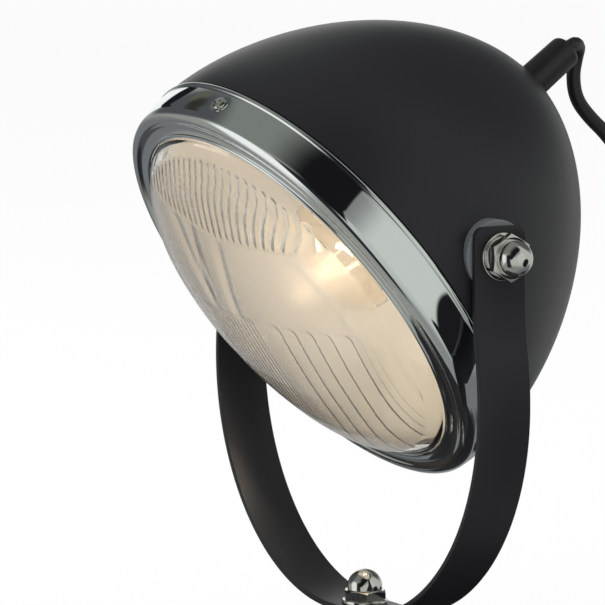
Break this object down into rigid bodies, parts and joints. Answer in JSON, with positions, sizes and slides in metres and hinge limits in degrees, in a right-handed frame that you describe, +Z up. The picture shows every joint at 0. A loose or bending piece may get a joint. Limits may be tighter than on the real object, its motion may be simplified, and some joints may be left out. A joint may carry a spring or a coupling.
{
  "type": "tabletop searchlight lamp",
  "caption": "Tabletop searchlight lamp: round black head with chrome rim and ribbed glass, tilting in a U-shaped yoke on a weighted round base, with a corded switch and plug.",
  "frame": {"origin": "middle of the underside of the round base, on the table", "axes": "+Z up; the glass faces -Y; the tilt axis runs along X, through the middle of the head"},
  "size_m": [0.2254, 0.346, 0.2429],
  "materials": {
    "black_paint": "satin black enamel",
    "rim_chrome": "polished chrome plate",
    "nickel_steel": "bright nickel plate",
    "zinc_steel": "zinc plate",
    "weight_iron": "as cast",
    "black_rubber": "matte",
    "glide_plastic": "matte",
    "lens_glass": "clear pressed glass, ribbed inside",
    "reflector_aluminium": "bright anodised",
    "holder_plastic": "matte black",
    "cap_brass": "bright",
    "bulb_glass": "clear",
    "filament": "tungsten, lit",
    "wire_sleeve": "matte",
    "cord_sheath": "matte black PVC",
    "black_plastic": "satin",
    "tie_plastic": "matte"
  },
  "bodies": {
    "base": {"base_pad": "black_rubber", "base_plate": "zinc_steel", "plate_screws": "zinc_steel", "base_weight": "weight_iron", "base_cover": "black_paint", "swivel_collar": "black_paint", "swivel_glide_washer": "glide_plastic", "swivel_bolt": "nickel_steel", "swivel_flat_washer": "nickel_steel", "swivel_dome_nut": "nickel_steel"},
    "yoke": {"yoke_strap": "black_paint", "supply_cord": "cord_sheath", "cord_coil": "cord_sheath", "coil_tie": "tie_plastic", "switch_base": "black_plastic", "switch_lid": "black_plastic", "switch_screws": "zinc_steel", "plug_body": "black_plastic", "plug_pins": "cap_brass"},
    "head": {"lamp_shell": "black_paint", "pivot_saddles": "zinc_steel", "pivot_bolts": "nickel_steel", "pivot_spacers": "nickel_steel", "pivot_flat_washers": "nickel_steel", "pivot_spring_washers": "nickel_steel", "pivot_dome_nuts": "nickel_steel", "rim_bezel": "rim_chrome", "rim_screw": "nickel_steel", "rim_clip": "zinc_steel", "lens_glass": "lens_glass", "lens_gasket": "black_rubber", "reflector": "reflector_aluminium", "reflector_clips": "zinc_steel", "lampholder_body": "holder_plastic", "lampholder_ring": "holder_plastic", "lampholder_liner": "cap_brass", "holder_contact": "cap_brass", "bulb_glass": "bulb_glass", "bulb_cap": "cap_brass", "bulb_contact": "cap_brass", "bulb_filament": "filament", "cord_bush": "black_rubber", "cord_lead_in": "cord_sheath", "cord_grip": "holder_plastic", "inner_wires": "wire_sleeve"},
    "rocker": {"switch_rocker": "black_plastic"}
  },
  "joints": [
    {"name": "yoke_swivel", "type": "hinge", "parent": "base", "child": "yoke", "pos_m": [0, 0, 0.037], "axis": [0, 0, 1], "range_deg": [-170, 170]},
    {"name": "head_tilt", "type": "hinge", "parent": "yoke", "child": "head", "pos_m": [0, 0, 0.169], "axis": [1, 0, 0], "range_deg": [-75, 45], "deforming": ["supply_cord"]},
    {"name": "switch_press", "type": "hinge", "parent": "yoke", "child": "rocker", "pos_m": [0.044, 0.148, 0.013], "axis": [0, 1, 0], "range_deg": [-16, 0]}
  ]
}
